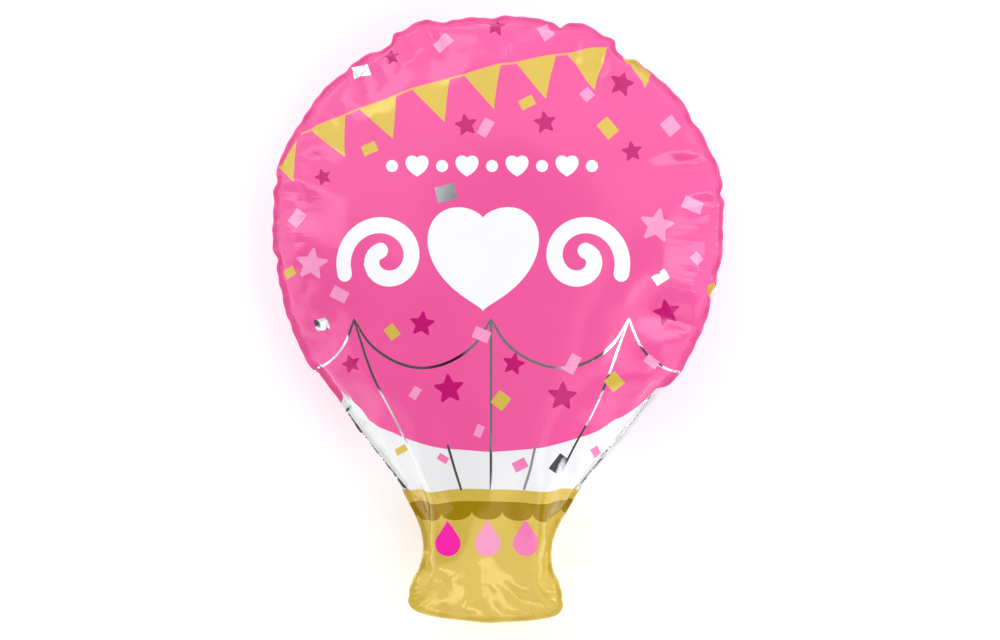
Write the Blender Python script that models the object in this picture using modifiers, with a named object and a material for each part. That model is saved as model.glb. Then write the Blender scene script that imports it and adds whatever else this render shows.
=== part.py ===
"""Foil balloon in the shape of a hot air balloon, lying on its back.

Two printed foil sheets are welded together all round and blown up: a round
envelope on top, a flank that narrows down to a neck, and a small flared
basket. The balloon is sealed, so it is one solid: a cushion with a thin
welded seam round its edge. +X is to the right seen from the front, +Y runs
from the basket up to the top of the envelope, +Z is the printed front. It
rests on a small flat spot on its back.
"""
import math

import bmesh
import bpy
from mathutils import Vector

# Sizes in metres, measured from the lowest point of the basket
LENGTH = 0.458
LOBE_RADIUS = 0.1675
LOBE_END = 36.0
NECK_HALF_WIDTH = 0.048
NECK_HEIGHT = 0.057
BASKET_HALF_WIDTH = 0.0557
BASKET_HEIGHT = 0.023

# How far each curve of the outline holds its direction, as a share of its length
FLANK_HOLD = 0.64
NECK_ARRIVAL = 0.22
NECK_HOLD = 0.50
CORNER_HOLD = 0.70
BASE_HOLD = 0.34

# Half depths along the middle line, and where they lie
BASKET_HALF_DEPTH = 0.018
NECK_HALF_DEPTH = 0.033
FLANK_HALF_DEPTH = 0.052
BELLY_HALF_DEPTH = 0.060
LOBE_HALF_DEPTH = 0.0565
FLANK_SHARE = 0.27
BELLY_SHARE = 0.76

# How squarely the film rises from the seam: small is square, large is gentle
BASKET_RISE = 0.55
NECK_RISE = 0.42
LOBE_RISE = 0.66

# Welded seam and its puckers
SEAM_WIDTH = 0.004
SEAM_THICKNESS = 0.0008
PUCKERS = 58
PUCKER_DEPTH = 0.0022
PUCKER_SWELL = 0.0018
PUCKER_REACH = 0.09

# Flat spot under the back
REST_DEPTH = 0.003

# Mesh
POINTS_PER_PUCKER = 4
RING_SHARES = (0.0, 0.045, 0.12, 0.24, 0.42, 0.68, 1.0)
SHARP_ANGLE = 40.0
MERGE = 0.00005

NAME = "foil_envelope"
COLLECTION = "hot_air_balloon_foil"


def bezier(a, b, c, d, steps):
    """Points of a cubic curve from a to d, without a itself."""
    points = []
    for i in range(1, steps + 1):
        t = i / steps
        points.append(a * (1 - t) ** 3 + b * 3 * t * (1 - t) ** 2 + c * 3 * t * t * (1 - t) + d * t ** 3)
    return points


def half_outline():
    """The right-hand outline of the balloon, from the top down to the bottom."""
    centre = Vector((0.0, LENGTH - LOBE_RADIUS))
    end = -math.radians(LOBE_END)
    steps = 200
    points = []
    for i in range(steps + 1):
        angle = math.pi / 2 + (end - math.pi / 2) * i / steps
        points.append(centre + LOBE_RADIUS * Vector((math.cos(angle), math.sin(angle))))

    lobe_end = points[-1]
    downhill = Vector((math.sin(end), -math.cos(end)))
    neck = Vector((NECK_HALF_WIDTH, NECK_HEIGHT))
    corner = Vector((BASKET_HALF_WIDTH, BASKET_HEIGHT))
    reach = (neck - lobe_end).length
    drop = Vector((0.0, 1.0))
    points += bezier(lobe_end, lobe_end + downhill * FLANK_HOLD * reach,
                     neck + drop * NECK_ARRIVAL * reach, neck, steps)
    points += bezier(neck, neck - drop * NECK_HOLD * (NECK_HEIGHT - BASKET_HEIGHT), corner, corner, steps)
    points += bezier(corner, corner - drop * CORNER_HOLD * BASKET_HEIGHT,
                     Vector((BASE_HOLD * BASKET_HALF_WIDTH, 0.0)), Vector((0.0, 0.0)), steps)
    return points


def spaced(points, count):
    """The same curve as count + 1 evenly spaced points."""
    run = [0.0]
    for a, b in zip(points, points[1:]):
        run.append(run[-1] + (b - a).length)
    result = []
    j = 0
    for i in range(count + 1):
        target = run[-1] * i / count
        while j < len(run) - 2 and run[j + 1] < target:
            j += 1
        share = (target - run[j]) / max(run[j + 1] - run[j], 1e-12)
        result.append(points[j].lerp(points[j + 1], min(max(share, 0.0), 1.0)))
    return result


def smooth_between(stations, height):
    """Value at a height, eased through (height, value) stations without overshoot."""
    stations = sorted(stations)
    if height <= stations[0][0]:
        return stations[0][1]
    if height >= stations[-1][0]:
        return stations[-1][1]
    slopes = []
    for (h0, v0), (h1, v1) in zip(stations, stations[1:]):
        slopes.append((v1 - v0) / max(h1 - h0, 1e-6))
    tangents = [slopes[0]]
    for left, right in zip(slopes, slopes[1:]):
        tangents.append(0.0 if left * right <= 0 else 2 * left * right / (left + right))
    tangents.append(slopes[-1])
    for i, ((h0, v0), (h1, v1)) in enumerate(zip(stations, stations[1:])):
        if height <= h1:
            gap = max(h1 - h0, 1e-6)
            t = (height - h0) / gap
            return (v0 * (2 * t ** 3 - 3 * t * t + 1) + v1 * (3 * t * t - 2 * t ** 3)
                    + gap * tangents[i] * (t ** 3 - 2 * t * t + t) + gap * tangents[i + 1] * (t ** 3 - t * t))
    return stations[-1][1]


def make_material():
    """Glossy printed foil."""
    material = bpy.data.materials.new("printed_foil")
    material.use_nodes = True
    shader = material.node_tree.nodes["Principled BSDF"]
    shader.inputs["Base Color"].default_value = (1.0, 0.13, 0.40, 1.0)
    shader.inputs["Metallic"].default_value = 0.2
    shader.inputs["Roughness"].default_value = 0.15
    material.diffuse_color = (1.0, 0.13, 0.40, 1.0)
    return material


def film_grid():
    """Rows of (x, y, z) on the front's right half, from the seam's edge in to the middle line."""
    lobe_centre = LENGTH - LOBE_RADIUS
    climb = lobe_centre - NECK_HEIGHT
    flank = NECK_HEIGHT + FLANK_SHARE * climb
    belly = NECK_HEIGHT + BELLY_SHARE * climb
    depths = ((BASKET_HEIGHT, BASKET_HALF_DEPTH), (NECK_HEIGHT, NECK_HALF_DEPTH), (flank, FLANK_HALF_DEPTH),
              (belly, BELLY_HALF_DEPTH), (lobe_centre, LOBE_HALF_DEPTH))
    rises = ((BASKET_HEIGHT, BASKET_RISE), (NECK_HEIGHT, NECK_RISE), (flank, NECK_RISE), (lobe_centre, LOBE_RISE))
    strengths = ((NECK_HEIGHT, 0.0), (lobe_centre, 1.0))

    outline = spaced(half_outline(), PUCKERS * POINTS_PER_PUCKER // 2)
    last = len(outline) - 1
    rows = [[] for _ in range(len(RING_SHARES) + 2)]
    for i, point in enumerate(outline):
        along = outline[min(i + 1, last)] - outline[max(i - 1, 0)]
        inward = Vector((along.y, -along.x)).normalized()
        if i in (0, last):
            inward = Vector((0.0, math.copysign(1.0, inward.y)))
        strength = smooth_between(strengths, point.y)
        wave = math.cos(2 * math.pi * i / POINTS_PER_PUCKER)
        edge = point + inward * PUCKER_DEPTH * strength * (1 - wave) / 2
        weld = edge + inward * SEAM_WIDTH
        foot = Vector((0.0, min(max(point.y, BASKET_HEIGHT), lobe_centre)))
        rise = smooth_between(rises, point.y)
        rows[0].append((edge.x, edge.y, 0.0))
        rows[1].append((edge.x, edge.y, SEAM_THICKNESS / 2))
        for row, share in zip(rows[2:], RING_SHARES):
            spot = weld.lerp(foot, share)
            depth = smooth_between(depths, foot.y) * (1 - (1 - share) ** 2) ** rise
            fade = share / PUCKER_REACH * math.exp(1 - share / PUCKER_REACH) * (1 - share)
            swell = PUCKER_SWELL * strength * wave * fade
            row.append((spot.x, spot.y, max(depth + swell, SEAM_THICKNESS / 2)))
    return rows


def build_film(material):
    """A quarter of the cushion, bent from a flat grid, mirrored to the left and to the back."""
    rows = film_grid()
    across = len(rows[0]) - 1
    inward = len(rows) - 1
    bm = bmesh.new()
    bmesh.ops.create_grid(bm, x_segments=across, y_segments=inward, size=0.5)
    for vert in bm.verts:
        i = round((vert.co.x + 0.5) * across)
        k = round((vert.co.y + 0.5) * inward)
        x, y, z = rows[k][i]
        vert.co = (x, y - LENGTH / 2, z)
    bmesh.ops.remove_doubles(bm, verts=bm.verts, dist=MERGE)
    bmesh.ops.reverse_faces(bm, faces=bm.faces)
    mesh = bpy.data.meshes.new(NAME)
    bm.to_mesh(mesh)
    bm.free()
    mesh.materials.append(material)
    mesh.shade_smooth()
    mesh.set_sharp_from_angle(angle=math.radians(SHARP_ANGLE))
    film = bpy.data.objects.new(NAME, mesh)
    film.location.z = BELLY_HALF_DEPTH - REST_DEPTH
    both_sides = film.modifiers.new("left_and_back", 'MIRROR')
    both_sides.use_axis = (True, False, True)
    both_sides.merge_threshold = MERGE
    return film


def build_rest_cutter():
    """A block whose top is the floor, to flatten the back where it rests."""
    height = 0.1
    bm = bmesh.new()
    bmesh.ops.create_cube(bm, size=1.0)
    bmesh.ops.scale(bm, verts=bm.verts, vec=(3 * LOBE_RADIUS, 2 * LENGTH, height))
    bmesh.ops.translate(bm, verts=bm.verts, vec=(0.0, 0.0, -height / 2))
    mesh = bpy.data.meshes.new("rest_cutter")
    bm.to_mesh(mesh)
    bm.free()
    cutter = bpy.data.objects.new("rest_cutter", mesh)
    cutter.hide_render = True
    cutter.display_type = 'WIRE'
    return cutter


for old in list(bpy.data.objects):
    bpy.data.objects.remove(old, do_unlink=True)

parts = bpy.data.collections.new(COLLECTION)
cutters = bpy.data.collections.new("cutters")
bpy.context.scene.collection.children.link(parts)
bpy.context.scene.collection.children.link(cutters)

envelope = build_film(make_material())
parts.objects.link(envelope)
rest_cutter = build_rest_cutter()
cutters.objects.link(rest_cutter)

flat_spot = envelope.modifiers.new("flat_spot", 'BOOLEAN')
flat_spot.operation = 'DIFFERENCE'
flat_spot.solver = 'EXACT'
flat_spot.object = rest_cutter
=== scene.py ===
# %% [markdown]
# # A foil balloon shaped like a hot air balloon
#
# The real balloon is two sheets of printed foil, cut to the same outline, welded together round the rim and
# blown up. This lesson makes it the same way. We cut the flat film, blow it up with Blender's Cloth, weld a
# seam round it, and print the artwork on it with shader nodes.

import math

import bmesh
import bpy
import numpy as np
from mathutils import Matrix, Vector
from mathutils.bvhtree import BVHTree
from mathutils.geometry import delaunay_2d_cdt
from mathutils.interpolate import poly_3d_calc as interpolate_weights


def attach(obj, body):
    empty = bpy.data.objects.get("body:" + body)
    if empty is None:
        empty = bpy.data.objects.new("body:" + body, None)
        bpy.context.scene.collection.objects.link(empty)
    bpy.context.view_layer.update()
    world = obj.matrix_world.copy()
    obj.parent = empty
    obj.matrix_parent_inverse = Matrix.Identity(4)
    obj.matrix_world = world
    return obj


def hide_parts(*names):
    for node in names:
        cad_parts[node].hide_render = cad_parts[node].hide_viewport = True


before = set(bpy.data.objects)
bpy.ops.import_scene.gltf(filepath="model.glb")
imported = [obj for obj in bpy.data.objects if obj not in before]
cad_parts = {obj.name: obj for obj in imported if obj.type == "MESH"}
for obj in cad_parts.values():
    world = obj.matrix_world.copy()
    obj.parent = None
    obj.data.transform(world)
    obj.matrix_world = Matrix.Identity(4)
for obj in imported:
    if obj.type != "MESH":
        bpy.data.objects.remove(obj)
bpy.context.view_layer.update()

# %% [markdown]
# ## Camera
#
# The balloon lies on its back, so the picture that faces us is seen from straight above. A long lens from far
# away keeps the round outline round, as in a catalogue picture. The artwork is placed later by looking
# through this camera, so the camera comes first.

# %% Place the camera
PICTURE = (1000, 640)
MM_PER_PIXEL = 0.753
LOOK_AT = Vector((0.0043, -0.0004, 0.058))
CAMERA_YAW = math.radians(3.6)
CAMERA_ROLL = math.radians(1.8)
CAMERA_DISTANCE = 3.2

lens = bpy.data.cameras.new("camera")
camera = bpy.data.objects.new("camera", lens)
bpy.context.scene.collection.objects.link(camera)
turn = Matrix.Rotation(CAMERA_ROLL, 3, 'Z') @ Matrix.Rotation(CAMERA_YAW, 3, 'Y')
camera.matrix_world = Matrix.Translation(LOOK_AT + turn @ Vector((0.0, 0.0, CAMERA_DISTANCE))) @ turn.to_4x4()
lens.sensor_width = 36.0
lens.lens = lens.sensor_width * CAMERA_DISTANCE / (PICTURE[0] * MM_PER_PIXEL / 1000.0)
bpy.context.scene.camera = camera
bpy.context.scene.view_settings.view_transform = 'Standard'


def sight_line(px, py):
    """Start and direction of the ray through a pixel of the 1000 by 640 picture."""
    across = (px - PICTURE[0] / 2) * MM_PER_PIXEL / 1000.0
    up = (PICTURE[1] / 2 - py) * MM_PER_PIXEL / 1000.0
    target = LOOK_AT + turn @ Vector((across, up, 0.0))
    start = camera.matrix_world.translation
    return start, (target - start).normalized()


# %% [markdown]
# ## Cut the film
#
# The flat film is larger than the blown-up balloon, because the sheets bulge out and draw the rim in. The
# pattern below is half of the cut outline, from the top down to the bottom, in metres. It tapers into a
# nearly straight basket: most of the neck isn't cut, it forms by itself when the tube fills.
#
# Blender's own Delaunay function joins an even lattice of points inside the outline.

# %% Half of the cut pattern
CUT_HALF = [
    (0.0000, 0.2401), (0.0318, 0.2376), (0.0631, 0.2318), (0.0868, 0.2218), (0.1055, 0.2079),
    (0.1276, 0.1905), (0.1459, 0.1704), (0.1604, 0.1476), (0.1726, 0.1229), (0.1788, 0.0968),
    (0.1804, 0.0699), (0.1792, 0.0428), (0.1748, 0.0159), (0.1674, -0.0101), (0.1578, -0.0351),
    (0.1440, -0.0591), (0.1304, -0.0829), (0.1160, -0.1062), (0.1011, -0.1293), (0.0863, -0.1530),
    (0.0721, -0.1772), (0.0620, -0.2024), (0.0596, -0.2252), (0.0387, -0.2362), (0.0000, -0.2401),
]
COARSE_CELL = 0.009
RIM_CLEARANCE = 0.6 * COARSE_CELL


def evenly_spaced(points, step):
    """Points along a line of points, as near to a step apart as divides it evenly."""
    points = np.asarray(points, float)
    run = np.concatenate([[0.0], np.cumsum(np.hypot(*np.diff(points, axis=0).T))])
    marks = np.linspace(0.0, run[-1], max(2, round(run[-1] / step)) + 1)
    return np.column_stack([np.interp(marks, run, points[:, 0]), np.interp(marks, run, points[:, 1])])


def smooth_curve(points, per_span=12):
    """A curve through the points (Catmull-Rom)."""
    p = np.asarray(points, float)
    p = np.vstack([2 * p[0] - p[1], p, 2 * p[-1] - p[-2]])
    t = np.linspace(0.0, 1.0, per_span, endpoint=False)[:, None]
    spans = []
    for a, b, c, d in zip(p, p[1:], p[2:], p[3:]):
        spans.append(0.5 * (2 * b + (c - a) * t + (2 * a - 5 * b + 4 * c - d) * t ** 2
                            + (3 * b - a - 3 * c + d) * t ** 3))
    return np.vstack(spans + [p[-2][None]])


right_edge = evenly_spaced(smooth_curve(CUT_HALF), COARSE_CELL)
rim = np.vstack([right_edge, right_edge[1:-1][::-1] * (-1, 1)])
print("the rim has", len(rim), "points")


# %% Lay a lattice inside the rim and triangulate it
def depth_inside(points, loop):
    """Distance from each point to a closed loop, negative outside it."""
    near = np.full(len(points), 1e9)
    inside = np.zeros(len(points), bool)
    for (ax, ay), (bx, by) in zip(loop, np.roll(loop, -1, axis=0)):
        ex, ey = bx - ax, by - ay
        t = np.clip(((points[:, 0] - ax) * ex + (points[:, 1] - ay) * ey) / (ex * ex + ey * ey), 0, 1)
        near = np.minimum(near, np.hypot(points[:, 0] - ax - t * ex, points[:, 1] - ay - t * ey))
        if ey != 0:
            crossing = ((ay > points[:, 1]) != (by > points[:, 1])) & (
                points[:, 0] < ex * (points[:, 1] - ay) / ey + ax)
            inside ^= crossing
    return np.where(inside, near, -near)


lattice = []
row_gap = COARSE_CELL * math.sqrt(3) / 2
for row, y in enumerate(np.arange(rim[:, 1].min(), rim[:, 1].max(), row_gap)):
    for x in np.arange(rim[:, 0].min() + COARSE_CELL / 2 * (row % 2), rim[:, 0].max(), COARSE_CELL):
        lattice.append((x, y))
lattice = np.array(lattice)
lattice = lattice[depth_inside(lattice, rim) > RIM_CLEARANCE]
corners, _, triangles, sources, _, _ = delaunay_2d_cdt(
    [Vector(p) for p in np.vstack([rim, lattice])], [], [list(range(len(rim)))], 1, 1e-7)
on_rim = [any(k < len(rim) for k in source) for source in sources]
print("one sheet:", len(corners), "points,", len(triangles), "triangles")

# %% [markdown]
# ## Weld two sheets together
#
# Both sheets share the points of the rim, which is the weld. Each starts a few millimetres away from the
# other, so that the pressure knows which way is out. The flat place of every point is kept in an attribute,
# because the print is laid out on the flat film.

# %% Build the flat envelope
LEAST_GAP, GAP_SLOPE, GAP_REACH = 0.002, 0.02, 0.05

flat_xy = np.array([tuple(c) for c in corners])
start_gap = LEAST_GAP + GAP_SLOPE * np.clip(depth_inside(flat_xy, rim), 0, GAP_REACH)
film_bm = bmesh.new()
flat_x = film_bm.verts.layers.float.new("flat_x")
flat_y = film_bm.verts.layers.float.new("flat_y")
front_mark = film_bm.faces.layers.int.new("front")


def add_sheet(side, shared):
    """One sheet of film on its side of the weld, reusing the rim's points."""
    points = []
    for i, (x, y) in enumerate(flat_xy):
        vert = shared[i] if on_rim[i] and shared else None
        if vert is None:
            vert = film_bm.verts.new((x, y, 0.0 if on_rim[i] else side * start_gap[i]))
            vert[flat_x] = x
            vert[flat_y] = y
        points.append(vert)
    for face in triangles:
        a, b, c = (Vector(flat_xy[i]) for i in face[:3])
        counter_clockwise = (b - a).cross(c - a) > 0
        order = face if counter_clockwise == (side > 0) else face[::-1]
        film_bm.faces.new([points[i] for i in order])[front_mark] = int(side > 0)
    return points


front_points = add_sheet(1, None)
add_sheet(-1, front_points)
film_mesh = bpy.data.meshes.new("balloon_film")
film_bm.to_mesh(film_mesh)
film_bm.free()
film = bpy.data.objects.new("balloon_film", film_mesh)
bpy.context.scene.collection.objects.link(film)
print("two sheets:", len(film_mesh.vertices), "points")

# %% [markdown]
# ## Blow it up
#
# Foil hardly stretches, but it wrinkles at once when it is pushed together. So the cloth gets a high tension
# stiffness, a low compression stiffness and almost no bending stiffness. The pressure rises slowly, or the
# film would crumple. A coarse film finds the big shape quickly; then every edge is halved and a short second
# run adds the fine puckers along the weld.


# %% Inflate in two runs
COARSE_FRAMES, COARSE_PRESSURE = 75, [(1, 2.0), (20, 4.0), (60, 30.0)]
FINE_FRAMES, FINE_PRESSURE = 24, [(1, 12.0)]
FILM_CLOTH = {
    "quality": 6, "mass": 0.002, "air_damping": 4.0,
    "tension_stiffness": 200.0, "compression_stiffness": 25.0, "shear_stiffness": 20.0,
    "bending_stiffness": 0.1, "tension_damping": 5.0, "compression_damping": 5.0, "shear_damping": 5.0,
    "bending_damping": 0.1,
}


def flat_of(mesh):
    """The flat places that the vertices of a mesh remember."""
    columns = []
    for name in ("flat_x", "flat_y"):
        values = np.zeros(len(mesh.vertices))
        mesh.attributes[name].data.foreach_get("value", values)
        columns.append(values)
    return np.column_stack(columns)


def inflate(obj, frames, ramp):
    """Run Cloth with a ramp of (frame, pressure) pairs, and keep the last frame as the object's mesh."""
    scene = bpy.context.scene
    flat_places = np.pad(flat_of(obj.data), ((0, 0), (0, 1)))
    obj.shape_key_add(name="now")
    flat_key = obj.shape_key_add(name="flat")
    flat_key.data.foreach_set("co", flat_places.ravel())
    cloth = obj.modifiers.new("inflate", 'CLOTH')
    film_settings = cloth.settings
    film_settings.rest_shape_key = flat_key
    for name, value in FILM_CLOTH.items():
        setattr(film_settings, name, value)
    film_settings.use_pressure = True
    film_settings.effector_weights.gravity = 0.0
    cloth.collision_settings.use_collision = False
    for at, pressure in ramp:
        film_settings.uniform_pressure_force = pressure
        film_settings.keyframe_insert("uniform_pressure_force", frame=at)
    cloth.point_cache.frame_start = 1
    cloth.point_cache.frame_end = frames + 2
    scene.frame_start = 1
    scene.frame_end = frames + 2
    for at in range(1, frames + 1):
        scene.frame_set(at)
    shaped = bpy.data.meshes.new_from_object(obj.evaluated_get(bpy.context.evaluated_depsgraph_get()))
    obj.modifiers.clear()
    obj.animation_data_clear()
    obj.shape_key_clear()
    old = obj.data
    obj.data = shaped
    bpy.data.meshes.remove(old)
    scene.frame_set(1)


def halve_edges(obj):
    """Cut every edge in two, which makes four triangles of each one."""
    bm = bmesh.new()
    bm.from_mesh(obj.data)
    bmesh.ops.subdivide_edges(bm, edges=bm.edges, cuts=1, use_grid_fill=True)
    bm.to_mesh(obj.data)
    bm.free()


def vertex_places(obj):
    """All vertex places as an array."""
    places = np.zeros(len(obj.data.vertices) * 3)
    obj.data.vertices.foreach_get("co", places)
    return places.reshape(-1, 3)


def find_weld(bm):
    """The edges where the front sheet and the back sheet meet."""
    mark = bm.faces.layers.int["front"]
    return [e for e in bm.edges if e.link_faces[0][mark] != e.link_faces[1][mark]]


inflate(film, COARSE_FRAMES, COARSE_PRESSURE)
places = vertex_places(film)
print("coarse film blown up, in mm:", np.round(np.ptp(places, axis=0) * 1000, 1))
halve_edges(film)
inflate(film, FINE_FRAMES, FINE_PRESSURE)
places = vertex_places(film)
print("fine film blown up, in mm:", np.round(np.ptp(places, axis=0) * 1000, 1))

# %% [markdown]
# ## Draw the film to the size of the solid
#
# The simulated outline comes within a few millimetres of the real one. The rest is taken up by drawing each
# height of the film to the half width that was measured in the picture, less the seam. The list gives half
# widths in millimetres, every 9 mm from the basket up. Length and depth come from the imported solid. On the
# flanks above the basket the rim had folded in under the film, so it is drawn out to the outline there. Where
# the balloon rests, the film is pressed flat on the floor.

# %% Fit width, height and depth
SEAM = 0.004
REST_SOFTNESS = 0.0016
OUTLINE_START = 0.0102
OUTLINE_STEP = 0.009036
OUTLINE = (48.5, 56.0, 55.2, 52.3, 49.9, 48.8, 49.7, 52.4, 56.7, 62.2, 66.8, 72.6, 79.8, 87.6, 95.4, 103.0,
           109.4, 115.2, 122.4, 131.2, 139.0, 144.5, 149.0, 153.4, 156.9, 159.9, 162.2, 163.9, 165.7, 167.8,
           169.4, 170.0, 169.7, 169.4, 169.5, 169.7, 168.3, 165.4, 162.1, 157.7, 152.2, 146.5, 141.0, 134.0,
           124.6, 113.4, 100.6, 87.8, 74.0)
READING_REACH = 0.0068
END_CLEARANCE = 0.001
FLANK_HEIGHTS, FLANK_SHARES = (0.06, 0.09, 0.165, 0.195), (0, 1, 1, 0)
FLANK_FADE = 0.012
FLANK_SLACK = 0.0006


def outline_at(edges, y):
    """Leftmost and rightmost places of the film at one height."""
    a, b = places[edges[:, 0]], places[edges[:, 1]]
    crossing = (a[:, 1] <= y) != (b[:, 1] <= y)
    a, b = a[crossing], b[crossing]
    x = a[:, 0] + (y - a[:, 1]) / (b[:, 1] - a[:, 1]) * (b[:, 0] - a[:, 0])
    return x.min(), x.max()


solid = vertex_places(bpy.data.objects["foil_envelope"])
low, high = solid.min(0), solid.max(0)
seam_height = solid[np.argmax(np.abs(solid[:, 0])), 2]

places -= (places.max(0) + places.min(0)) / 2
places[:, 1] *= (high[1] - low[1] - 2 * SEAM) / np.ptp(places[:, 1])
stations = low[1] + OUTLINE_START + OUTLINE_STEP * np.arange(len(OUTLINE))
half_widths = np.array(OUTLINE) / 1000.0
weld_widths = half_widths - SEAM * np.hypot(1.0, np.gradient(half_widths, OUTLINE_STEP))
edges = np.array([e.vertices for e in film.data.edges])
lefts, rights = [], []
for y in stations:
    nearby = y + np.linspace(-READING_REACH, READING_REACH, 7)
    nearby = np.clip(nearby, low[1] + SEAM + END_CLEARANCE, high[1] - SEAM - END_CLEARANCE)
    left, right = np.mean([outline_at(edges, height) for height in nearby], axis=0)
    lefts.append(left)
    rights.append(right)
lefts, rights = np.array(lefts), np.array(rights)
ratios = 2 * weld_widths / (rights - lefts)
print("drawn in or out by", round(ratios.min(), 3), "to", round(ratios.max(), 3))
places[:, 0] -= np.interp(places[:, 1], stations, (lefts + rights) / 2)
places[:, 0] *= np.interp(places[:, 1], stations, ratios)

bm = bmesh.new()
bm.from_mesh(film.data)
at_rim = sorted({v.index for e in find_weld(bm) for v in e.verts})
bm.free()
flat = flat_of(film.data)
depth_in = depth_inside(flat, rim)
wanted = np.interp(places[:, 1], stations, weld_widths)
on_flank = np.interp(places[:, 1] - low[1], FLANK_HEIGHTS, FLANK_SHARES)
for side in (-1, 1):
    edge_ids = [i for i in at_rim if flat[i, 0] * side > 0]
    edge_ids.sort(key=lambda i: flat[i, 1])
    half = flat[:, 0] * side > 0
    for _ in range(3):
        short = wanted[edge_ids] - places[edge_ids, 0] * side
        short = np.convolve(np.pad(short, 1, mode='edge'), (0.25, 0.5, 0.25), mode='valid')
        pull = np.interp(flat[half, 1], flat[edge_ids, 1], short) * np.exp(-depth_in[half] / FLANK_FADE)
        places[half, 0] += side * pull * on_flank[half]
    over = np.maximum(places[half, 0] * side - wanted[half], 0)
    places[half, 0] -= side * (over - FLANK_SLACK * np.tanh(over / FLANK_SLACK)) * on_flank[half]
places[:, 2] *= (high[2] - seam_height) / places[:, 2].max()
places[:, 2] += seam_height
places[:, 2] = (places[:, 2] + np.sqrt(places[:, 2] ** 2 + REST_SOFTNESS ** 2)) / 2
places[:, 2] -= places[:, 2].min()
film.data.vertices.foreach_set("co", places.ravel())

# %% [markdown]
# ## The welded seam
#
# Outside the weld the two sheets lie flat on each other in a narrow flange. We part the sheets at the rim,
# extrude each rim outwards and join the two outer edges, so that the film stays one closed skin. The flange
# is a little too long for the drawn-in rim, so it waves, and round the envelope its edge is scalloped. Before
# that, the film away from the weld is calmed in passes, more of them the deeper it lies.

# %% Extrude the seam and smooth the film
FILM_GAP = 0.00018
CALM_PASSES = ((0.002, 1), (0.03, 6), (0.05, 14))  # depth inside the rim, passes
SEAM_WAVE = 0.0007
SHORT_RIPPLE, LONG_RIPPLE, LONG_SHARE = 0.0031, 0.0047, 0.7
SCALLOP_LENGTH, SCALLOP_DRIFT = 0.0135, 0.037
SCALLOP_SWELL, SCALLOP_INSET = 0.35, 0.2
SCALLOPS_START, SCALLOPS_FULL = -0.06, 0.0
SEAM_CREASE = 0.6


def smooth_loop(values, times):
    """Even out values that run round a closed loop."""
    for _ in range(times):
        values = 0.25 * np.roll(values, 1, axis=0) + 0.5 * values + 0.25 * np.roll(values, -1, axis=0)
    return values


def walk_loop(edges):
    """The vertices of a closed loop of edges, in order."""
    links = {}
    for edge in edges:
        for a, b in (edge.verts, reversed(edge.verts)):
            links.setdefault(a, []).append(b)
    first = next(iter(links))
    order, here, before = [first], links[first][0], first
    while here is not first:
        order.append(here)
        here, before = next(v for v in links[here] if v is not before), here
    return order


bm = bmesh.new()
bm.from_mesh(film.data)
front_mark = bm.faces.layers.int["front"]
crease = bm.edges.layers.float.new("crease_edge")
weld = find_weld(bm)
order = walk_loop(weld)
bm.verts.ensure_lookup_table()
flat_x, flat_y = bm.verts.layers.float["flat_x"], bm.verts.layers.float["flat_y"]
for depth, times_over in CALM_PASSES:
    calm = [bm.verts[i] for i in np.flatnonzero(depth_in > depth)]
    for _ in range(times_over):
        bmesh.ops.smooth_vert(bm, verts=calm, factor=0.5, use_axis_x=True, use_axis_y=True, use_axis_z=True)
loop = np.array([v.co for v in order])
tangent = smooth_loop(np.roll(loop, -1, axis=0) - np.roll(loop, 1, axis=0), 2)
outward = np.cross(tangent, (0.0, 0.0, 1.0))
outward *= np.sign((outward * loop).sum())
outward /= np.linalg.norm(outward, axis=1)[:, None]
upward = np.cross(outward, tangent)
upward *= np.sign(upward[:, 2].sum())
upward /= np.linalg.norm(upward, axis=1)[:, None]
run = np.cumsum(np.linalg.norm(np.roll(loop, -1, axis=0) - loop, axis=1))
wave = SEAM_WAVE * (np.sin(run / SHORT_RIPPLE) + LONG_SHARE * np.sin(run / LONG_RIPPLE + 1.0))
scallops = np.abs(np.sin(run * math.pi / SCALLOP_LENGTH + np.sin(run / SCALLOP_DRIFT)))
scalloped = np.interp(loop[:, 1], (SCALLOPS_START, SCALLOPS_FULL), (0.0, 1.0))
reach = SEAM * (1.0 + (SCALLOP_SWELL * scallops - SCALLOP_INSET) * scalloped)
flat_loop = np.array([(v[flat_x], v[flat_y]) for v in order])
flat_run = np.roll(flat_loop, -1, axis=0) - np.roll(flat_loop, 1, axis=0)
flat_out = np.column_stack([flat_run[:, 1], -flat_run[:, 0]]) / np.linalg.norm(flat_run, axis=1)[:, None]
flat_out *= np.sign((flat_out * flat_loop).sum())
offsets = {}
for v, *values in zip(order, outward * reach[:, None], upward, wave, flat_out):
    offsets[tuple(np.round(v.co, 7))] = values

bmesh.ops.split_edges(bm, edges=weld)
outer_edges = []
for side in (1, 0):
    border = [e for e in bm.edges if e.is_boundary and e.link_faces[0][front_mark] == side]
    for edge in border:
        edge[crease] = SEAM_CREASE
    sign = 1 if side else -1
    rows = {v: offsets[tuple(np.round(v.co, 7))] for e in border for v in e.verts}
    for v, (_, up, _, _) in rows.items():
        v.co += Vector(up) * sign * FILM_GAP
    grown = bmesh.ops.extrude_edge_only(bm, edges=border)["geom"]
    for face in [g for g in grown if isinstance(g, bmesh.types.BMFace)]:
        face[front_mark] = side
    new_verts = [g for g in grown if isinstance(g, bmesh.types.BMVert)]
    for v in new_verts:
        base = next(e.other_vert(v) for e in v.link_edges if e.other_vert(v) in rows)
        out, up, w, spread = rows[base]
        v.co = base.co + Vector(out) + Vector(up) * w
        v[flat_x] += spread[0] * SEAM
        v[flat_y] += spread[1] * SEAM
    new_set = set(new_verts)
    outer_edges += [e for e in bm.edges if e.verts[0] in new_set and e.verts[1] in new_set]
bmesh.ops.bridge_loops(bm, edges=outer_edges)
bmesh.ops.recalc_face_normals(bm, faces=bm.faces)
bm.to_mesh(film.data)
bm.free()
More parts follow.
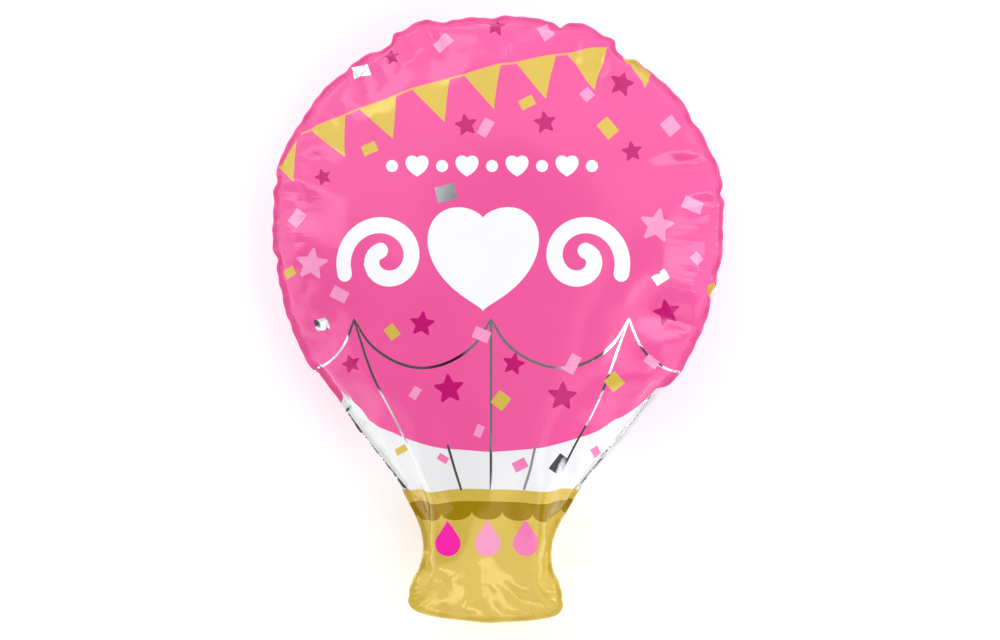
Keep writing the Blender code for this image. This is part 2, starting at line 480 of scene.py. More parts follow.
print("one closed skin of", len(film.data.polygons), "faces")

smoothing = film.modifiers.new("smooth", 'SUBSURF')
smoothing.levels = 1
smoothing.render_levels = 1
finished = bpy.data.meshes.new_from_object(film.evaluated_get(bpy.context.evaluated_depsgraph_get()))
film.modifiers.clear()
film.data = finished
finished.name = "balloon_film"
finished.shade_smooth()
triangle_count = len(finished.loops) - 2 * len(finished.polygons)
print("finished skin:", len(finished.polygons), "faces,", triangle_count, "triangles")

# %% [markdown]
# ## Lay out the artwork
#
# The real film is printed flat, before it is cut and blown up. So every printed shape is placed on the flat
# film: a ray through the camera finds the film under a place in the picture, and the film there remembers its
# flat place. Shapes near the rim then shrink by themselves where the film curves away.

# %% Find the flat place under a pixel
UNIT = MM_PER_PIXEL / 1000.0
LEAST_STRETCH, MOST_STRETCH = 0.8, 1.6
PATH_STEP = 4.0
mesh = film.data
flat = flat_of(mesh)
skin = [v.co for v in mesh.vertices]
sides = np.zeros(len(mesh.polygons), int)
mesh.attributes["front"].data.foreach_get("value", sides)
loops = [tuple(f.vertices) for f in mesh.polygons]
front_faces = np.flatnonzero(sides == 1)
front_tree = BVHTree.FromPolygons(skin, [loops[i] for i in front_faces])


def flat_at(px, py):
    """Flat place of the front film seen at a pixel."""
    start, direction = sight_line(px, py)
    hit, _, index, _ = front_tree.ray_cast(start, direction)
    if hit is None:
        hit, _, index, _ = front_tree.find_nearest(start + direction * CAMERA_DISTANCE)
    corner_ids = loops[front_faces[index]]
    weights = interpolate_weights([skin[i] for i in corner_ids], hit)
    return sum(w * flat[i] for w, i in zip(weights, corner_ids))


def flat_path(pixels):
    """The flat places under a smooth curve through places in the picture."""
    return np.array([flat_at(*p) for p in evenly_spaced(smooth_curve(pixels, 8), PATH_STEP)])


def flat_frame(px, py, reach):
    """How far a pixel to the right and a pixel up reach on the flat film, within limits near the rim."""
    right = (flat_at(px + reach, py) - flat_at(px - reach, py)) / (2 * reach)
    up = (flat_at(px, py - reach) - flat_at(px, py + reach)) / (2 * reach)
    u, sizes, v = np.linalg.svd(np.column_stack([right, up]))
    return u @ np.diag(np.clip(sizes, LEAST_STRETCH * UNIT, MOST_STRETCH * UNIT)) @ v


print("the middle of the envelope lies at", np.round(flat_at(491, 238) * 1000, 1), "mm on the flat film")

# %% Colours, as seen in a picture and turned into light
def light(red, green, blue):
    """A colour of 0 to 255 values as the linear values that shaders want."""
    parts = [c / 255.0 for c in (red, green, blue)]
    return [c / 12.92 if c <= 0.04045 else ((c + 0.055) / 1.055) ** 2.4 for c in parts]


INK = {
    "pink": light(238, 90, 158),
    "pale": light(247, 156, 200),
    "magenta": light(192, 22, 112),
    "hot": light(250, 40, 172),
    "rose": light(243, 124, 182),
    "white": light(248, 248, 250),
    "field_white": light(238, 238, 240),
    "gold": light(217, 187, 82),
    "dark_gold": light(164, 131, 8),
    "string": light(238, 168, 104),
    "mirror": light(232, 234, 238),
}
METAL = {"mirror": 1.0, "gold": 0.10, "dark_gold": 0.10, "ink": 0.03}

# %% [markdown]
# ## Printed shapes
#
# Stars, paper scraps, flags and drops don't touch each other. So every face of the film only has to know the
# one shape that lies nearest, and where it is in that shape's own frame. The shader then draws a sharp star
# or flag from those coordinates. That needs one small set of nodes for each kind of shape, however many there
# are.

# %% List the shapes of the front
STAR, SCRAP, FLAG, DROP, HEART, DOT = range(6)
shapes = []


def add_shape(kind, px, py, half_width, half_height, degrees, ink):
    """A shape centred at a pixel, with its half sizes in pixels and its turn in degrees."""
    turn_by = math.radians(degrees)
    turned = np.array([[math.cos(turn_by), -math.sin(turn_by)], [math.sin(turn_by), math.cos(turn_by)]])
    to_flat = flat_frame(px, py, 0.7 * half_width) @ turned @ np.diag([half_width, half_height])
    shapes.append((kind, flat_at(px, py), np.linalg.inv(to_flat), ink))


def add_flag(left, right, tip):
    """A pennant between three pixels; its own frame runs from -1 to 1 along the string and 0 to 1 down."""
    a, b, c = (flat_at(*p) for p in (left, right, tip))
    middle = (a + b) / 2
    to_flat = np.column_stack([(b - a) / 2, c - middle])
    shapes.append((FLAG, middle, np.linalg.inv(to_flat), "gold"))


stars = [
    (392, 57, 8, 12, "magenta"), (496, 26, 10, -8, "magenta"), (466, 125, 12, 10, "magenta"),
    (323, 177, 9, 20, "magenta"), (545, 122.5, 12, 8, "magenta"), (622, 83, 13, -14, "magenta"),
    (632, 151.5, 11, 8, "magenta"), (422, 324, 13.5, -6, "magenta"), (351, 364, 10, 18, "magenta"),
    (449, 389, 16, 6, "magenta"), (513.5, 364, 12, -12, "magenta"), (562.5, 396.5, 15.5, -4, "magenta"),
    (666.5, 312.5, 14, 12, "magenta"), (311.5, 264, 17, -6, "pale"), (657, 225.5, 18.5, -10, "pale"),
]
for px, py, size, degrees, ink in stars:
    add_shape(STAR, px, py, size, size, degrees, ink)

scraps = [
    (443, 43, 5.5, 9.3, -43, "pale"), (546, 31, 6, 8, 30, "pale"),
    (485.5, 127.5, 5.4, 9.0, -31, "pale"), (587, 94.5, 5.6, 5.6, 40, "pale"),
    (670.5, 126, 8, 7.2, -51, "pale"), (692.5, 205, 9.7, 6.2, -25, "pale"),
    (697, 258.5, 5.4, 4.6, -45, "pale"), (297, 218, 6, 8, -38, "pale"),
    (339.5, 294.5, 8.4, 6, -27, "pale"), (481.5, 334.7, 8.4, 5.9, -23, "pale"),
    (415, 393, 4.1, 6.1, -31, "pale"), (572.5, 364, 5.5, 9.5, -28, "pale"),
    (651.5, 361.5, 7, 4.4, -36, "pale"), (479, 431, 3.9, 6.1, -22, "pale"),
    (443, 458.5, 5.4, 3.4, -31, "rose"), (520, 465, 7, 5.2, 27, "rose"),
    (596, 452, 4.4, 5.7, 34, "rose"),
    (369.5, 148.5, 7.5, 5.2, 24, "gold"), (527, 102.5, 7.5, 5.2, 27, "gold"),
    (607.8, 128, 9.3, 7, -50, "gold"), (289, 273, 6.5, 4.5, 33, "gold"),
    (392, 332, 6.9, 5.7, -52, "gold"), (501, 400.5, 7.3, 7.8, -38, "gold"),
    (615, 382.5, 7.8, 7.4, -48, "gold"), (711, 290, 5, 6, 10, "gold"),
    (401, 450, 6, 3.5, 28, "gold"),
    (361, 71, 8.5, 5.5, 15, "mirror"), (322, 324.5, 6.8, 5.9, 14, "mirror"),
    (660.7, 277.5, 7.5, 5.4, 33, "mirror"), (559, 464, 5.4, 9.5, -36, "mirror"),
    (446, 193, 10, 8, 15, "mirror"),
]
for px, py, half_width, half_height, degrees, ink in scraps:
    add_shape(SCRAP, px, py, half_width, half_height, degrees, ink)

pennants = [
    ((297, 139), (279, 168), (294, 182)), ((311, 130), (345, 115), (345, 157)),
    ((359, 109), (396, 95.5), (393, 139)), ((411.5, 89), (450, 78.5), (444.5, 122)),
    ((464, 75), (501, 64), (494, 109)), ((516, 63), (556, 55), (546, 99)),
    ((567, 54), (607, 48), (594.5, 90)), ((624, 56), (651, 74), (645, 88)),
]
for corners_seen in pennants:
    add_flag(*corners_seen)

for px, ink in ((448, "hot"), (487.5, "pale"), (526, "rose")):
    add_shape(DROP, px, 543.5, 12.8, 12.8, 0, ink)

# %% [markdown]
# ## A picture for the middle
#
# The middle of the front carries a white picture. It is a plain heart between two curls, under a row of
# small hearts and dots, the kind of pattern that party goods of any make carry.

# %% White heart, curls and row of small shapes
CURL_START, CURL_TURN, CURL_POINTS = -60, 440, 40
CURL_EYE, CURL_GROWTH = 0.22, 1.15

add_shape(HEART, 483, 258, 56, 56, 0, "white")
for i, px in enumerate(range(392, 594, 25)):
    if i % 2:
        add_shape(HEART, px, 166, 11.5, 11.5, 0, "white")
    else:
        add_shape(DOT, px, 166, 6, 6, 0, "white")


def curl(px, py, radius, side):
    """A spiral that opens outwards from a pixel, mirrored for the other side."""
    points = []
    for i in range(CURL_POINTS):
        share = i / (CURL_POINTS - 1)
        turn_by = math.radians(CURL_START + CURL_TURN * share)
        reach = radius * (CURL_EYE + (1 - CURL_EYE) * share ** CURL_GROWTH)
        points.append((px + side * reach * math.cos(turn_by), py + reach * math.sin(turn_by)))
    return points


# %% [markdown]
# ## Lines: ropes, bunting string and curls
#
# Each line is a row of short straight pieces on the flat film. A face keeps how far its corners lie from the
# nearest piece, counted in half widths of the line, so the shader draws the line wherever that is below one.

# %% List the lines
ROPE_STEP, CURL_STEP = 0.0035, 0.002
ROPE_HALF_WIDTH, STRING_HALF_WIDTH, CURL_HALF_WIDTH = 1.35, 1.2, 8
lines = []


def add_line(pixels, step, half_width, ink):
    """A line through places in the picture: pieces of one step, and its half width in pixels."""
    lines.append((evenly_spaced(flat_path(pixels), step), half_width * UNIT, ink))


LEFT_KNOT, MIDDLE_KNOT, RIGHT_KNOT = (354, 320), (491, 320), (629, 319)
rope_routes = [
    (LEFT_KNOT, (371, 345), (396, 362), (422, 368), (449, 362), (474, 345), MIDDLE_KNOT),
    (MIDDLE_KNOT, (508, 345), (534, 362), (562, 368), (590, 361), (613, 344), RIGHT_KNOT),
    (LEFT_KNOT, (346, 341), (334, 358), (317, 369), (306, 372)),
    (RIGHT_KNOT, (638, 341), (650, 358), (667, 369), (679, 372)),
]
rope_falls = [
    (LEFT_KNOT, (373, 376), (401, 431), (428, 489)),
    (MIDDLE_KNOT, (491, 376), (491, 431), (491, 489)),
    (RIGHT_KNOT, (599, 400), (575, 445), (553, 489)),
    ((448, 446), (455, 470), (461, 489)),
    ((535, 447), (530, 470), (524, 489)),
    ((329, 389), (345, 410), (374, 449), (406, 489)),
    ((650, 396), (634, 418), (606, 452), (577, 489)),
]
for route in rope_routes + rope_falls:
    add_line(route, ROPE_STEP, ROPE_HALF_WIDTH, "mirror")
string = [flat_at(301, 134)]
for left, right, _ in pennants[1:7]:
    string += [flat_at(*left), flat_at(*right)]
lines.append((evenly_spaced(string, ROPE_STEP), STRING_HALF_WIDTH * UNIT, "string"))
back_lines = len(lines)
add_line(curl(385, 259, 43, -1), CURL_STEP, CURL_HALF_WIDTH, "white")
add_line(curl(581, 259, 43, 1), CURL_STEP, CURL_HALF_WIDTH, "white")

# %% [markdown]
# ## Coloured fields
#
# The pink field, the gold basket and its scalloped valance are marked by numbers on the face corners: how
# many pixels a corner lies above the pink field's edge, how many below the basket's top, and how many
# scallops away from the middle one. The valance's top and cusps are pixels below the basket's top.

# %% Number the corners for the coloured fields
FIELD_EDGE = [(330, 392), (342, 401), (370, 421), (400, 436), (445, 449), (491, 452), (540, 448), (585, 436),
              (620, 418), (645, 400), (655, 390)]
BASKET_TOP, BASKET_DEEP = 490, 522
VALANCE_TOP, VALANCE_CUSPS = 12.0, 21.5
SCALLOP_DEPTH, SCALLOP_PITCH, MIDDLE_SCALLOP = 9.0, 30.3, 487
VALANCE_ROW = 511


def height_of_line(pixels, flat_x):
    """Flat height, at each flat x, of a line seen in the picture, carried on beyond its ends."""
    points = np.array([flat_at(*p) for p in pixels])
    points = points[np.argsort(points[:, 0])]
    points = np.vstack([6 * points[0] - 5 * points[1], points, 6 * points[-1] - 5 * points[-2]])
    return np.interp(flat_x, points[:, 0], points[:, 1])


def level_line(py, across, flat_x):
    """Flat height, at each flat x, of a level row of pixels: a parabola through the film seen there."""
    points = np.array([flat_at(px, py) for px in across])
    return np.polyval(np.polyfit(points[:, 0], points[:, 1], 2), flat_x)


corner_vertex = np.zeros(len(mesh.loops), int)
mesh.loops.foreach_get("vertex_index", corner_vertex)
corner_face = np.repeat(np.arange(len(mesh.polygons)), [len(f) for f in loops])
corner_flat = flat[corner_vertex]
across_seen = np.arange(412, 572, 8.0)
basket_top = level_line(BASKET_TOP, across_seen, corner_flat[:, 0])
basket_deep = level_line(BASKET_DEEP, across_seen[2:-2], corner_flat[:, 0])
below_top = (basket_top - corner_flat[:, 1]) / (basket_top - basket_deep) * (BASKET_DEEP - BASKET_TOP)
across_flat = np.sort([flat_at(px, VALANCE_ROW)[0] for px in across_seen])
scallop = (np.interp(corner_flat[:, 0], across_flat, across_seen) - MIDDLE_SCALLOP) / SCALLOP_PITCH
above_edge = (corner_flat[:, 1] - height_of_line(FIELD_EDGE, corner_flat[:, 0])) / UNIT


def add_numbers(name, domain, values):
    """Write one number for every face, or for every corner of a face."""
    layer = mesh.attributes.new(name, 'FLOAT', domain)
    layer.data.foreach_set("value", np.asarray(values, np.float32))


add_numbers("above_edge", 'CORNER', above_edge)
add_numbers("below_top", 'CORNER', below_top)
add_numbers("scallop", 'CORNER', scallop)


# %% [markdown]
# ## Nearest shape and nearest line
#
# The back carries the same print without the white picture, and with only half of the scraps. Its faces look
# for their nearest shape among fewer shapes.

# %% Give every face its nearest shape and line
def corner_pairs(name, values):
    """Write a UV map from one pair of values a face corner."""
    layer = mesh.uv_layers.new(name=name)
    layer.uv.foreach_set("vector", np.asarray(values, np.float32).ravel())


def face_colours(name, values):
    """Write one colour, with the metal share as its alpha, for every face."""
    layer = mesh.attributes.new(name, 'FLOAT_COLOR', 'FACE')
    layer.data.foreach_set("color", np.asarray(values, np.float32).ravel())


face_flat = np.column_stack([
    np.bincount(corner_face, corner_flat[:, k]) / np.bincount(corner_face) for k in (0, 1)])
is_front = sides == 1


def tint(ink):
    """Ink colour and its share of bare metal."""
    return INK[ink] + [METAL.get(ink, METAL["ink"])]


def reach_of(kind, x, y):
    """How far a place lies from a shape's middle, as a share of the way to its edge."""
    if kind == SCRAP:
        return np.maximum(np.abs(x), np.abs(y))
    if kind == FLAG:
        return np.maximum(1 - 3 * y, 1.5 * (np.abs(x) + y) - 0.5)
    if kind == DROP:
        return np.hypot(x, (y - 0.4) / 1.4)
    return np.hypot(x, y)


def nearest_shape(allowed):
    """Index of the nearest allowed shape for each face."""
    best = np.full(len(face_flat), 1e9)
    index = np.zeros(len(face_flat), int)
    for i in allowed:
        kind, centre, to_own, _ = shapes[i]
        own = (face_flat - centre) @ to_own.T
        away = reach_of(kind, own[:, 0], own[:, 1])
        closer = away < best
        best[closer] = away[closer]
        index[closer] = i
    return index


def nearest_piece(allowed):
    """Index of the nearest allowed straight piece of a line for each face."""
    best = np.full(len(face_flat), 1e9)
    index = np.zeros(len(face_flat), int)
    for i in allowed:
        away = face_flat - starts[i]
        t = np.clip(away @ along[i], 0, length[i])
        gap = np.hypot(away[:, 0] - t * along[i, 0], away[:, 1] - t * along[i, 1]) / widths[i]
        closer = gap < best
        best[closer] = gap[closer]
        index[closer] = i
    return index


back_shapes = [i for i, s in enumerate(shapes) if s[0] in (STAR, FLAG, DROP) or (s[0] == SCRAP and i % 2)]
index = np.where(is_front, nearest_shape(range(len(shapes))), nearest_shape(back_shapes))
of_corner = index[corner_face]
frames = np.array([s[2] for s in shapes])[of_corner]
offsets = corner_flat - np.array([s[1] for s in shapes])[of_corner]
corner_pairs("shape", np.einsum('nij,nj->ni', frames, offsets))
add_numbers("shape_kind", 'FACE', np.array([s[0] for s in shapes])[index])
face_colours("shape_tint", np.array([tint(s[3]) for s in shapes])[index])

pieces = [(path[k], path[k + 1], half_width, tint(ink), k == 0, k == len(path) - 2, n)
          for n, (path, half_width, ink) in enumerate(lines) for k in range(len(path) - 1)]
starts, ends, widths, tints, firsts, lasts, owners = (np.array(column) for column in zip(*pieces))
length = np.hypot(*(ends - starts).T)
along = (ends - starts) / length[:, None]
back_pieces = np.flatnonzero(owners < back_lines)
index = np.where(is_front, nearest_piece(range(len(pieces))), nearest_piece(back_pieces))
of_corner = index[corner_face]
away = corner_flat - starts[of_corner]
t = (away * along[of_corner]).sum(1)
beside = away[:, 0] * along[of_corner, 1] - away[:, 1] * along[of_corner, 0]
before = np.where(firsts[of_corner], np.minimum(t, 0), 0)
beyond = np.where(lasts[of_corner], np.maximum(t - length[of_corner], 0), 0)
corner_pairs("line", np.column_stack([beside, before + beyond]) / widths[of_corner][:, None])
face_colours("line_tint", tints[index])
print("every face knows its nearest of", len(shapes), "shapes and", len(pieces), "pieces of line")

# %% [markdown]
# ## Fine gathers along the weld
#
# Between the big puckers of the mesh a real seam has many fine gathers that run inwards and fade out. They
# are too small for the mesh, so they are a bump. It needs to know how far along the seam a place is, and how
# far inside it.

# %% Measure along and inside the weld
RING_STEP = 0.002
ring = evenly_spaced(np.vstack([rim, rim[:1]]), RING_STEP)
ring_run = np.concatenate([[0.0], np.cumsum(np.hypot(*np.diff(ring, axis=0).T))])
best = np.full(len(flat), 1e9)
along_rim = np.zeros(len(flat))
for k in range(len(ring) - 1):
    step = (ring[k + 1] - ring[k]) / (ring_run[k + 1] - ring_run[k])
    away = flat - ring[k]
    gap = np.hypot(away[:, 0], away[:, 1])
    closer = gap < best
    best[closer] = gap[closer]
    along_rim[closer] = ring_run[k] + (away @ step)[closer]
corner_run = along_rim[corner_vertex]
least = np.full(len(loops), 1e9)
np.minimum.at(least, corner_face, corner_run)
corner_run -= ring_run[-1] * (corner_run - least[corner_face] > ring_run[-1] / 2)
corner_pairs("gather", np.column_stack([corner_run, best[corner_vertex]]))
print("the weld is", round(ring_run[-1], 3), "m long on the flat film")

# %% [markdown]
# ## Printed foil
#
# Foil balloons are printed with glossy inks on a metal-coated film. The inks are nearly opaque and reflect
# like lacquer; where no ink is printed the film is a mirror, and gold is a clear yellow ink over the metal.
# One Principled shader does all three: masks choose the ink, and each ink brings its share of metal.


# %% Small helpers for nodes
def maths(tree, operation, *values):
    """A Math node; sockets are linked and numbers are set."""
    node = tree.nodes.new('ShaderNodeMath')
    node.operation = operation
    for i, value in enumerate(values):
        if isinstance(value, bpy.types.NodeSocket):
            tree.links.new(value, node.inputs[i])
        else:
            node.inputs[i].default_value = value
    return node.outputs[0]


def add_all(tree, *values):
    """The sum of several values."""
    total = values[0]
    for value in values[1:]:
        total = maths(tree, 'ADD', total, value)
    return total


def times(tree, *values):
    """The product of several values; for masks, where all of them are 1."""
    total = values[0]
    for value in values[1:]:
        total = maths(tree, 'MULTIPLY', total, value)
    return total


def mix(tree, factor, below, above):
    """Colour and metal share of one layer over another where the factor is 1."""
    result = []
    for kind, low_value, high_value in (("RGBA", below[0], above[0]), ("FLOAT", below[1], above[1])):
        node = tree.nodes.new('ShaderNodeMix')
        node.data_type = kind
        short = {"RGBA": "Color", "FLOAT": "Float"}[kind]
        sockets = {s.identifier: s for s in node.inputs}
        tree.links.new(factor, sockets["Factor_Float"])
        for name, value in (("A_" + short, low_value), ("B_" + short, high_value)):
            if isinstance(value, bpy.types.NodeSocket):
                tree.links.new(value, sockets[name])
            else:
                sockets[name].default_value = value
        result.append(next(s for s in node.outputs if s.identifier == "Result_" + short))
    return result


def ink_layer(name):
    """Colour and metal share of an ink."""
    return (*INK[name], 1.0), METAL.get(name, METAL["ink"])


def read_attribute(tree, name, output):
    """One output of an attribute."""
    node = tree.nodes.new('ShaderNodeAttribute')
    node.attribute_name = name
    return node.outputs[output]


def read_pair(tree, name):
    """Both values of a UV map."""
    uv = tree.nodes.new('ShaderNodeUVMap')
    uv.uv_map = name
    split = tree.nodes.new('ShaderNodeSeparateXYZ')
    tree.links.new(uv.outputs[0], split.inputs[0])
    return split.outputs[0], split.outputs[1]


# %% Draw each kind of shape from its own coordinates
def star_mask(tree, x, y, radius):
    """A five-pointed star with blunt tips, folded onto one half of one point."""
    tip, notch, blunt = 1.08, 0.5, 0.94
    folded = maths(tree, 'WRAP', maths(tree, 'ARCTAN2', x, y), math.pi / 5, -math.pi / 5)
    angle = maths(tree, 'ABSOLUTE', folded)
    edge = Vector((notch * math.sin(math.pi / 5), tip - notch * math.cos(math.pi / 5))).normalized()
    lengthwise = times(tree, radius, maths(tree, 'COSINE', angle), edge.x)
    sideways = times(tree, radius, maths(tree, 'SINE', angle), edge.y)
    inside = maths(tree, 'LESS_THAN', add_all(tree, lengthwise, sideways), tip * edge.x)
    return times(tree, inside, maths(tree, 'LESS_THAN', radius, blunt))


def drop_mask(tree, y, side, ball):
    """A round drop with a straight-sided point on top."""
    point, spread, shoulder = 1.8, 0.66, 0.54
    cone = maths(tree, 'LESS_THAN', side, times(tree, maths(tree, 'SUBTRACT', point, y), spread))
    above = maths(tree, 'GREATER_THAN', y, shoulder)
    return maths(tree, 'MAXIMUM', ball, times(tree, cone, above))


def heart_mask(tree, x, y):
    """The curve (x2 + y2 - 1)3 = x2 y3."""
    narrowing, lift, flattening = 1.14, 0.12, 1.2
    hx = times(tree, x, narrowing)
    hy = times(tree, maths(tree, 'ADD', y, lift), flattening)
    hx2 = times(tree, hx, hx)
    hy2 = times(tree, hy, hy)
    body = maths(tree, 'POWER', maths(tree, 'SUBTRACT', add_all(tree, hx2, hy2), 1.0), 3.0)
    return maths(tree, 'LESS_THAN', body, times(tree, hx2, hy2, hy))


def shape_mask(tree):
    """1 inside the nearest shape, whatever its kind."""
    x, y = read_pair(tree, "shape")
    kind = read_attribute(tree, "shape_kind", "Fac")
    radius = maths(tree, 'SQRT', add_all(tree, times(tree, x, x), times(tree, y, y)))
    side = maths(tree, 'ABSOLUTE', x)
    ball = maths(tree, 'LESS_THAN', radius, 1.0)
    masks = {
        STAR: star_mask(tree, x, y, radius),
        SCRAP: maths(tree, 'LESS_THAN', maths(tree, 'MAXIMUM', side, maths(tree, 'ABSOLUTE', y)), 1.0),
        FLAG: times(tree, maths(tree, 'GREATER_THAN', y, 0.0),
                    maths(tree, 'LESS_THAN', add_all(tree, side, y), 1.0)),
        DROP: drop_mask(tree, y, side, ball),
        HEART: heart_mask(tree, x, y),
        DOT: ball,
    }
    chosen = []
    for number, mask in masks.items():
        chosen.append(times(tree, mask, maths(tree, 'COMPARE', kind, float(number), 0.4)))
    return add_all(tree, *chosen)


# %% Put the print together
GATHERS_ALONG, GATHERS_INWARD, GATHER_FADE = 190.0, 22.0, -50.0
GRAIN_HEIGHT, BUMP_HEIGHT = 0.04, 0.0012
MOST_METAL = 0.7


def valance_mask(tree, below_top):
    """The dark valance at the basket's top, with its scalloped hem."""
    step = read_attribute(tree, "scallop", "Fac")
    off = times(tree, maths(tree, 'SUBTRACT', step, maths(tree, 'ROUND', step)), 2.0)
    bulge = maths(tree, 'SQRT', maths(tree, 'SUBTRACT', 1.0, times(tree, off, off)))
    hem = maths(tree, 'MULTIPLY_ADD', bulge, SCALLOP_DEPTH, VALANCE_CUSPS)
    under_band = maths(tree, 'GREATER_THAN', below_top, VALANCE_TOP)
    return times(tree, under_band, maths(tree, 'LESS_THAN', below_top, hem))


def noise(tree, place, scale, detail):
    """The value of a noise texture."""
    node = tree.nodes.new('ShaderNodeTexNoise')
    node.inputs["Scale"].default_value = scale
    node.inputs["Detail"].default_value = detail
    tree.links.new(place, node.inputs["Vector"])
    return node.outputs["Fac"]


def make_foil(name):
    """Printed foil: coloured fields, then lines, then shapes."""
    material = bpy.data.materials.new(name)
    material.use_nodes = True
    tree = material.node_tree
    shader = tree.nodes["Principled BSDF"]
    in_pink = maths(tree, 'GREATER_THAN', read_attribute(tree, "above_edge", "Fac"), 0.0)
    layer = mix(tree, in_pink, ink_layer("field_white"), ink_layer("pink"))
    below_top = read_attribute(tree, "below_top", "Fac")
    layer = mix(tree, maths(tree, 'GREATER_THAN', below_top, 0.0), layer, ink_layer("gold"))
    layer = mix(tree, valance_mask(tree, below_top), layer, ink_layer("dark_gold"))

    across, beyond = read_pair(tree, "line")
    reach = add_all(tree, times(tree, across, across), times(tree, beyond, beyond))
    on_line = maths(tree, 'LESS_THAN', reach, 1.0)
    line_tint = [read_attribute(tree, "line_tint", output) for output in ("Color", "Alpha")]
    layer = mix(tree, on_line, layer, line_tint)
    shape_tint = [read_attribute(tree, "shape_tint", output) for output in ("Color", "Alpha")]
    colour, metal = mix(tree, shape_mask(tree), layer, shape_tint)

    place = tree.nodes.new('ShaderNodeTexCoord').outputs["Object"]
    cloudy = noise(tree, place, 22.0, 3.0)
    coverage = tree.nodes.new('ShaderNodeHueSaturation')
    tree.links.new(colour, coverage.inputs["Color"])
    tree.links.new(maths(tree, 'MULTIPLY_ADD', cloudy, 0.10, 0.95), coverage.inputs["Value"])
    tree.links.new(coverage.outputs["Color"], shader.inputs["Base Color"])
    tree.links.new(metal, shader.inputs["Metallic"])
    shader.inputs["Specular IOR Level"].default_value = 0.32
    ink_roughness = maths(tree, 'MULTIPLY_ADD', cloudy, 0.08, 0.09)
    inked = maths(tree, 'SUBTRACT', 1.0, maths(tree, 'MINIMUM', metal, MOST_METAL))
    tree.links.new(times(tree, ink_roughness, inked), shader.inputs["Roughness"])

    run, inside = read_pair(tree, "gather")
    streaks = tree.nodes.new('ShaderNodeCombineXYZ')
    tree.links.new(times(tree, run, GATHERS_ALONG), streaks.inputs[0])
    tree.links.new(times(tree, inside, GATHERS_INWARD), streaks.inputs[1])
    gathers = noise(tree, streaks.outputs[0], 1.0, 2.5)
    fade = maths(tree, 'EXPONENT', times(tree, inside, GATHER_FADE))
    film_grain = noise(tree, place, 90.0, 2.0)
    height = add_all(tree, times(tree, gathers, fade), times(tree, film_grain, GRAIN_HEIGHT))
    bump = tree.nodes.new('ShaderNodeBump')
    bump.inputs["Strength"].default_value = 1.0
    bump.inputs["Distance"].default_value = BUMP_HEIGHT
    tree.links.new(height, bump.inputs["Height"])
    tree.links.new(bump.outputs["Normal"], shader.inputs["Normal"])
    return material


foil = make_foil("printed_foil")
mesh.materials.clear()
mesh.materials.append(foil)
print("the print has", len(foil.node_tree.nodes), "nodes")

# %% [markdown]
# ## Studio
#
# A pale floor that glows a little and an even white room give the soft look of a catalogue picture. The room
# is dark straight overhead, where the camera hangs, and behind a few dark cards, and dim along the horizon.
# Mirror foil shows that, so the bare ropes look dark in some places and bright in others, while the inks
# hardly change.

# %% Floor and room
bpy.ops.mesh.primitive_plane_add(size=12.0, location=(0.0, 0.0, -0.0004))
floor = bpy.context.object
floor.name = "floor"
floor_material = bpy.data.materials.new("pale_floor")
floor_material.use_nodes = True
floor_shader = floor_material.node_tree.nodes["Principled BSDF"]
for name, value in (("Base Color", (0.93, 0.93, 0.94, 1.0)), ("Roughness", 0.9), ("Specular IOR Level", 0.1),
                    ("Emission Color", (1.0, 1.0, 1.0, 1.0)), ("Emission Strength", 0.22)):
    floor_shader.inputs[name].default_value = value
floor.data.materials.append(floor_material)

ROOM_LIGHT = 1.4
room = bpy.data.worlds.new("room")
bpy.context.scene.world = room
room.use_nodes = True
tree = room.node_tree
direction = tree.nodes.new('ShaderNodeTexCoord')
towards = tree.nodes.new('ShaderNodeSeparateXYZ')
tree.links.new(direction.outputs["Generated"], towards.inputs[0])


def soft_step(value, start, stop):
    """0 before start, 1 after stop, with an eased change."""
    node = tree.nodes.new('ShaderNodeMapRange')
    node.interpolation_type = 'SMOOTHSTEP'
    node.inputs["From Min"].default_value = start
    node.inputs["From Max"].default_value = stop
    tree.links.new(value, node.inputs["Value"])
    return node.outputs["Result"]


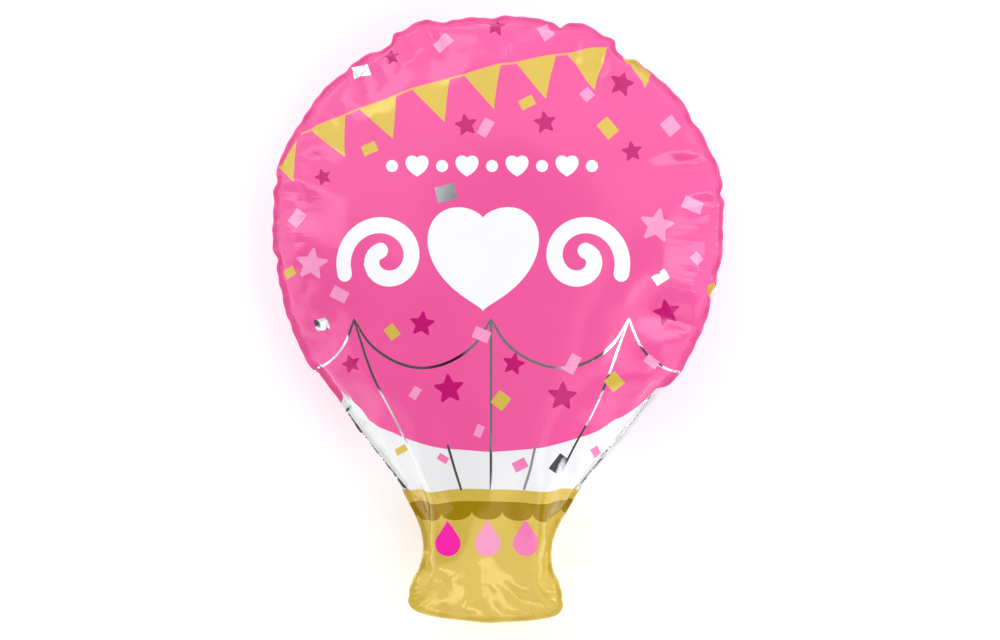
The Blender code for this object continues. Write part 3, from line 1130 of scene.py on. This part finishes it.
def card(low_corner, high_corner, soft, depth):
    """What a dark card leaves of the light, for directions between two corners of the room."""
    inside = 1.0
    for axis, low_end, high_end in zip(towards.outputs, low_corner, high_corner):
        inside = maths(tree, 'MULTIPLY', soft_step(axis, low_end - soft, low_end + soft), inside)
        inside = maths(tree, 'MULTIPLY', inside, soft_step(axis, high_end + soft, high_end - soft))
    return maths(tree, 'MULTIPLY_ADD', inside, -depth, 1.0)


overhead = maths(tree, 'MULTIPLY_ADD', soft_step(towards.outputs[2], 0.86, 0.97), -0.85, 1.0)
horizon = maths(tree, 'MULTIPLY_ADD', soft_step(towards.outputs[2], -0.05, 0.30), 0.45, 0.55)
cards = [
    card((-2.0, -0.60, 0.32), (-0.14, 0.14, 2.0), 0.04, 0.93),
    card((-2.0, -0.62, -0.1), (-0.72, -0.33, 0.32), 0.03, 0.35),
    card((0.50, -0.105, 0.50), (0.75, 0.12, 2.0), 0.02, 0.90),
    card((0.18, -0.64, 0.60), (0.46, -0.30, 2.0), 0.03, 0.75),
    card((0.68, -0.62, 0.03), (2.0, -0.27, 0.65), 0.03, 0.92),
]
background = tree.nodes["Background"]
background.inputs["Color"].default_value = (1.0, 1.0, 1.0, 1.0)
tree.links.new(times(tree, overhead, horizon, *cards, ROOM_LIGHT), background.inputs["Strength"])


# %% Soft lights
def soft_light(name, place, size, power):
    """A rectangular soft light that looks at the balloon."""
    data = bpy.data.lights.new(name, 'AREA')
    data.shape = 'RECTANGLE'
    data.size, data.size_y = size
    data.energy = power
    lamp = bpy.data.objects.new(name, data)
    bpy.context.scene.collection.objects.link(lamp)
    aim = (-Vector(place)).to_track_quat('-Z', 'Y')
    lamp.matrix_world = Matrix.Translation(place) @ aim.to_matrix().to_4x4()


soft_light("right_light", (1.9, 0.0, 0.85), (0.5, 1.4), 7)
soft_light("left_light", (-1.9, 0.4, 0.8), (0.4, 1.6), 5)
soft_light("top_light", (-0.9, 1.7, 1.0), (1.4, 0.4), 4)
soft_light("near_light", (-0.3, -1.9, 0.75), (1.2, 0.35), 3)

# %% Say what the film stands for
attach(film, "root")
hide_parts("foil_envelope")
